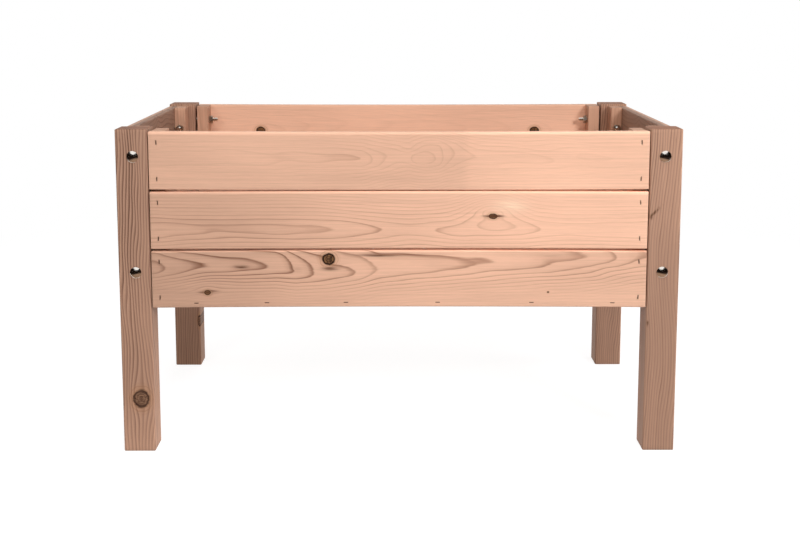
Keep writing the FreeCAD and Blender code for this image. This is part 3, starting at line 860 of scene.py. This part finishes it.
def carriage_bolt(length):
    """A dome of one radius, a rounded rim, the square neck and a helical thread of 1.25 mm pitch. At
    a depth the thread's tooth is a triangle wave of depth / pitch less the angle as a share of a
    turn."""
    rim, high, rim_high, neck_half, neck_deep = 9.1, 4.4, 0.6, 4.0, 4.5
    core, pitch, threaded, tooth_deep, run_in = 4.0, 1.25, 15.0, 0.62, 2.0
    rise = high - rim_high
    dome = (rim ** 2 + rise ** 2) / (2 * rise)
    lean = np.linspace(0.02, math.asin(rim / dome), 16)
    head_r = [*(dome * np.sin(lean)), rim, rim - 0.15, rim - 0.5]
    head_z = [*(high - dome + dome * np.cos(lean)), 0.25, 0.06, 0.0]
    square = neck_half / np.maximum(np.abs(np.cos(angles)), np.abs(np.sin(angles)))
    square = np.minimum(square, neck_half * 1.36)
    thread_from = length - threaded
    rows_r = [np.full(AROUND, r) for r in head_r] + [square, square, *np.full((2, AROUND), core)]
    rows_z = [*head_z, 0.0, -neck_deep, -neck_deep, -thread_from]
    for at in np.arange(thread_from + 0.2, length - 0.8, pitch / 6):
        tooth = 1 - np.abs(2 * ((at / pitch - angles / (2 * np.pi)) % 1) - 1)
        rows_r.append(core - tooth_deep * min(1.0, (at - thread_from) / run_in) * tooth)
        rows_z.append(-at)
    rows_r += [np.full(AROUND, core - 0.7), np.full(AROUND, core - 1.0)]
    rows_z += [-(length - 0.4), -length]
    return turned(rows_r, rows_z)


def hex_nut():
    """Six flats whose corners are turned off by a cone of 30 degrees at both ends."""
    flat, high, bore, ease = 6.5, 6.7, 4.05, 0.5
    turn = (angles + np.pi / 6) % (np.pi / 3) - np.pi / 6
    side = flat / np.cos(turn)
    cut = (side - flat) * math.tan(math.radians(30)) + 0.12
    ones = np.ones(AROUND)
    inner, mouth, shoulder = bore * ones, (bore + ease) * ones, (flat - 0.3) * ones
    radii = [inner, mouth, shoulder, side, side, shoulder, mouth, inner]
    low = [ease * ones, 0 * ones, 0 * ones, cut]
    return turned(radii, low + [high - z for z in low[::-1]], closed=True)


def wire_staple(leg):
    """A square wire with eased corners carried along a U: up one leg, round a small bend, along the
    crown and down the other leg."""
    half, wire, sink, bend = 3.2, 1.2, 0.4, 0.9
    arm, top = half - wire / 2, -sink - wire / 2
    foot = top - leg - wire / 2
    turn = np.linspace(0, np.pi / 2, 5)
    left = np.stack([-arm + bend * (1 - np.cos(turn)), top - bend * (1 - np.sin(turn))], 1)
    path = np.vstack([[[-arm, foot]], left, (left * [-1, 1])[::-1], [[arm, foot]]])
    along = np.gradient(path, axis=0)
    along /= np.linalg.norm(along, axis=1)[:, None]
    out = np.stack([-along[:, 1], along[:, 0]], 1)
    corner = np.array([(1, .6), (.6, 1), (-.6, 1), (-1, .6), (-1, -.6), (-.6, -1), (.6, -1), (1, -.6)])
    corner *= wire / 2
    rows = np.empty((len(path), len(corner), 3))
    rows[..., 0] = path[:, :1] + out[:, :1] * corner[:, 0]
    rows[..., 1] = corner[:, 1]
    rows[..., 2] = path[:, 1:] + out[:, 1:] * corner[:, 0]
    return closed_rows(rows, np.stack([rows[0].mean(axis=0), rows[-1].mean(axis=0)]))


# %% Places of the fasteners, read from the frame
def copies(shape, places, lean=None):
    """One mesh of a shape repeated at each place: a point on a face, the way out of it, and across."""
    base, faces = shape
    points, all_faces = [], []
    for number, (point, out, across) in enumerate(places):
        z, x = np.array(out, float), np.array(across, float)
        if lean:
            angle = lean[number % len(lean)]
            x = math.cos(angle) * x + math.sin(angle) * np.cross(z, x)
        turn = np.stack([x, np.cross(z, x), z], 1)
        points.append(base @ turn.T + point)
        all_faces += [[index + number * len(base) for index in face] for face in faces]
    return np.vstack(points), all_faces


def placed(axes, values):
    """A point or a direction from its values on some of the axes; the rest are nought."""
    made = np.zeros(3)
    made[list(axes)] = values
    return made


head_wide, head_high = 9.1, 4.4


def bolt_places(node, axis):
    """Head places from the node's box: at both ends of both axes, at two heights."""
    low, high = span(node)
    other = 1 - axis
    reach = np.empty(2)
    reach[axis], reach[other] = high[axis] - head_high, high[other] - head_wide
    return [(placed((0, 1, 2), (sx * reach[0], sy * reach[1], z)), placed([axis], (sx, sy)[axis]),
             placed([other], 1)) for sx in (-1, 1) for sy in (-1, 1)
            for z in (low[2] + head_wide, high[2] - head_wide)]


def inward(places, depth):
    """The same places at a depth behind the face and facing the other way, as a bolt's nut does."""
    return [(point - out * depth, -out, across) for point, out, across in places]


side_bolts, long_bolts = bolt_places("side_panel_bolts", 1), bolt_places("long_panel_bolts", 0)
side_grip = bed_high[1] - span("right_cleat_rear")[0][1]
long_grip = bed_high[0] - span("rear_cleat_right")[0][0]
nut_seats = inward(side_bolts, side_grip) + inward(long_bolts, long_grip)

board_staples, ledger_staples = [], []
for side, height in boards:
    iu, _, iw, way = LAYOUTS[side]
    low, high = span(side + "_board_" + height)
    face, out = low[iw] if way > 0 else high[iw], placed([iw], -way)
    board_staples += [(placed((iu, 2, iw), (slot["u"], slot["v"], face)), out, (0, 0, 1))
                      for slot in end_slots(low[iu], high[iu], low[2], high[2])]
    if height == "bottom":
        places = long_ledger_places if side in ALONG_X else side_ledger_places
        ledger_staples += [(placed((iu, 2, iw), (u, low[2] + staple_rise, face)), out, placed([iu], 1))
                           for u in places]
print("bolts:", len(nut_seats), "staples:", len(board_staples), len(ledger_staples))

# %% [markdown]
# ## Metal
# Three finishes: the bolts are bright and smooth, the nuts are duller with the faint mottling
# of zinc, and the staples are dark brown, painted shade on grey wire sunk in its slots. A metal's
# look is mostly what it mirrors, so the studio below matters as much as these values.

# %% Metal materials
# The brown in a metal's scratches; on the staples it paints shade.
FILM_AND_SHADE_BROWN = colour(92, 62, 42)


def metal(name, tint, rough, mottle, film_and_shade=0.0):
    """Bare metal: fine scratches and slow mottling move its roughness and tint, and a brown film
    lies in the scratches; on the staples the brown and the dark tint are painted shade."""
    material, tree, shader = new_material(name)
    place = add(tree, "TexCoord").outputs["Object"]
    slow = noise(tree, place, (240, 240, 240), 3.0)
    fine = noise(tree, place, (2200, 500, 2200), 2.0)
    dull = tuple(0.55 * c for c in tint[:3]) + (1.0,)
    base = blend(tree, between(tree, slow, 0.3, 0.7, 0.0, mottle), tint, dull)
    base = blend(tree, between(tree, fine, 0.35, 0.7, 0.0, film_and_shade), base, FILM_AND_SHADE_BROWN)
    tree.links.new(base, shader.inputs["Base Color"])
    spread = plus(tree, between(tree, slow, 0.3, 0.7, rough - 0.05, rough + 0.08),
                  between(tree, fine, 0.3, 0.7, 0, 0.05))
    tree.links.new(spread, shader.inputs["Roughness"])
    relief = add(tree, "Bump", Strength=0.12, Distance=0.0001, Height=fine).outputs[0]
    tree.links.new(relief, shader.inputs["Normal"])
    shader.inputs["Metallic"].default_value = 1.0
    return material


bright_steel = metal("bright_steel", colour(244, 238, 230), 0.14, 0.2)
zinc = metal("zinc", colour(200, 190, 176), 0.26, 0.4, 0.15)
# The staples are dark brown: painted shade of the crowns sunk in their slots; the wire itself is grey.
staple_steel_painted_shade = metal("staple_steel_painted_shade", colour(84, 68, 56), 0.5, 0.4, 0.8)

# %% Put the hardware in
side_length, long_length = 101.6, 88.9
board_leg, floor_leg = 28.0, 22.0
nut_lean = [0.3, -0.2, 0.5, 0.1, -0.4]
hardware = (
    ("side_panel_bolts", carriage_bolt(side_length), side_bolts, None, bright_steel, "bright_bolts"),
    ("long_panel_bolts", carriage_bolt(long_length), long_bolts, None, bright_steel, "bright_bolts"),
    ("hex_nuts", hex_nut(), nut_seats, nut_lean, zinc, "zinc_nuts"),
    ("panel_staples", wire_staple(board_leg), board_staples, None, staple_steel_painted_shade, "staple_wire"),
    ("ledger_staples", wire_staple(board_leg), ledger_staples, None, staple_steel_painted_shade, "staple_wire"),
    ("floor_staples", wire_staple(floor_leg), floor_staples, None, staple_steel_painted_shade, "staple_wire"))
for node, shape, places, lean, material, slot in hardware:
    stand_for(new_piece(node, *copies(shape, places, lean), material), node)
print("pieces of hardware:", sum(len(places) for _, _, places, *_ in hardware))

# %% [markdown]
# ## Studio
# The bed stands on a pale floor in a white surround, lit by soft boxes to the left and the right
# of the camera, above and behind, and by two low cards that reach under it from the sides. The floor
# shows the light that falls on it, with the bed's own shadow, and the rest of its white is added
# only where the camera or a mirror sees it, so no extra light reaches the wood.

# %% Floor, surround and lamps
def seen(tree):
    """One where a camera, glossy or transmitted ray asks, and else nought."""
    path = add(tree, "LightPath")
    most = reckon(tree, "MAXIMUM", path.outputs["Is Camera Ray"], path.outputs["Is Glossy Ray"])
    return reckon(tree, "MAXIMUM", most, path.outputs["Is Transmission Ray"])


def floor_finish():
    """A pale floor that fades to plain white away from the bed. Light that bounces between it and the
    bed meets a plain grey; the camera and the metal see a paler one, lifted so that only the shadow
    stays under white."""
    material, tree, shader = new_material("studio_white")
    shader.inputs["Base Color"].default_value = (0.55, 0.55, 0.55, 1)
    shader.inputs["Roughness"].default_value = 0.9
    shader.inputs["Specular IOR Level"].default_value = 0.0
    place = add(tree, "TexCoord").outputs["Object"]
    far = add(tree, "VectorMath", place, settings={"operation": "LENGTH"}).outputs["Value"]
    shaded = add(tree, "BsdfDiffuse", (0.3, 0.3, 0.3, 1)).outputs[0]
    lift = add(tree, "Emission", (1, 1, 1, 1), 0.86).outputs[0]
    lifted = add(tree, "AddShader", shaded, lift).outputs[0]
    white = add(tree, "Emission", (1, 1, 1, 1), 1.0).outputs[0]
    shown = add(tree, "MixShader", between(tree, far, 0.8, 1.9), lifted, white).outputs[0]
    result = add(tree, "MixShader", seen(tree), shader.outputs[0], shown).outputs[0]
    tree.links.new(result, tree.nodes["Material Output"].inputs["Surface"])
    return material


def studio_floor(reach=14.0):
    """A square that lies on the ground and reaches as far on each side."""
    corners = np.array([[-reach, -reach, 0], [reach, -reach, 0], [reach, reach, 0], [-reach, reach, 0]])
    new_piece("studio_floor", corners / MM, [[0, 1, 2, 3]], floor_finish())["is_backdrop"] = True


def dark_room():
    """The unlit room behind the camera: a brown floor that turns dark and a curved dark wall, highest
    at the sides, that only mirrors see, so the bolts' domes show a bright top over a dark middle. It is
    a fan of four arcs, each at a distance and a height, and the first is pulled straight along the
    bed's front."""
    turn = np.radians(np.linspace(-195, 15, 43))
    wall_top = 3.0 + 3.2 * np.cos(turn) ** 2
    arcs = (1.4, 0.01), (1.4, 0.015), (4.4, 0.02), (4.4, wall_top)
    rows = [np.stack([reach * np.cos(turn), reach * np.sin(turn), top + 0 * turn], 1) for reach, top in arcs]
    rows[0][:, 1] = -0.27
    index = np.arange(len(turn) - 1)
    band = np.stack([index, index + 1, index + 1 + len(turn), index + len(turn)], 1)
    faces = [face for row in range(3) for face in (band + row * len(turn)).tolist()]
    material, tree, shader = new_material("studio_dark")
    far = add(tree, "VectorMath", add(tree, "TexCoord").outputs["Object"], settings={"operation": "LENGTH"})
    fade = between(tree, far.outputs["Value"], 0.75, 1.25)
    shade = blend(tree, fade, colour(160, 132, 110), (0.018, 0.011, 0.008, 1))
    tree.links.new(shade, shader.inputs["Base Color"])
    shader.inputs["Roughness"].default_value = 1.0
    shader.inputs["Specular IOR Level"].default_value = 0.0
    wall = new_piece("dark_room", np.vstack(rows) / MM, faces, material)
    wall.visible_camera = wall.visible_diffuse = wall.visible_shadow = wall.visible_transmission = False
    wall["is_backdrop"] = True


def soft_box(name, place, size, watts, aim=(0, 0, 0.35), tint=(1, 1, 1)):
    """A soft rectangular lamp aimed at the bed. Mirrors don't see it, so the domes show the room and
    not its square."""
    lamp = bpy.data.lights.new(name, "AREA")
    lamp.shape = "RECTANGLE"
    lamp.size, lamp.size_y = size
    lamp.energy = watts
    lamp.color = tint
    holder = bpy.data.objects.new(name, lamp)
    holder.location = place
    holder.rotation_euler = (Vector(aim) - Vector(place)).to_track_quat("-Z", "Y").to_euler()
    holder.visible_glossy = False
    bpy.context.scene.collection.objects.link(holder)


# %% Set the studio up
studio_floor()
dark_room()
world = bpy.data.worlds.new("studio_surround")
bpy.context.scene.world = world
world.use_nodes = True
surround = world.node_tree.nodes["Background"]
surround.inputs["Color"].default_value = (1, 1, 1, 1)
ambient = 0.28
strength = between(world.node_tree, seen(world.node_tree), 0.0, 1.0, ambient, 1.0)
world.node_tree.links.new(strength, surround.inputs["Strength"])

soft_box("soft_box_left", (-1.9, -3.5, 2.1), (1.0, 1.0), 30, tint=(1.02, 0.94, 0.88))
soft_box("soft_box_right", (1.5, -2.8, 1.8), (0.8, 0.8), 55, tint=(0.98, 1.0, 1.04))
soft_box("soft_box_above", (0.2, -1.5, 2.6), (1.3, 0.7), 22)
soft_box("soft_box_behind", (0.0, 3.3, 1.3), (1.6, 0.8), 34, aim=(0, 0, 0.3))
soft_box("low_card_right", (2.7, 0.1, 0.3), (0.9, 0.4), 42, aim=(-0.38, -0.2, 0.15))
soft_box("low_card_left", (-2.7, 0.1, 0.3), (0.9, 0.4), 10, aim=(0.38, -0.2, 0.15))
print("lamps:", len(bpy.data.lights))

# %% [markdown]
# ## Camera
# The photograph was taken from the front with the verticals kept upright, so its lens was shifted. A
# shift as large as that would crop the bed in other views, so this camera is shifted less and looks
# down a little more. It keeps the front panel in place, and the rear rim comes out a little low.

# %% Camera and colour management
camera = bpy.data.objects.new("camera", bpy.data.cameras.new("camera"))
bpy.context.scene.collection.objects.link(camera)
bpy.context.scene.camera = camera
camera.data.sensor_width = 36.0
camera.data.lens = 54.92
camera.data.shift_y = -0.12
camera.location = (-0.0071, -2.0963, 0.7001)
camera.rotation_euler = (math.pi / 2 - 0.1376, 0, -0.0045)
bpy.context.scene.view_settings.view_transform = "Standard"

# %% Compare the size with the frame's, and finish
new_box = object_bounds()
grown = np.abs(np.array(new_box)) - np.abs(np.array(cad_box))
print("grown by", np.round(grown / MM, 2).tolist(), "mm")
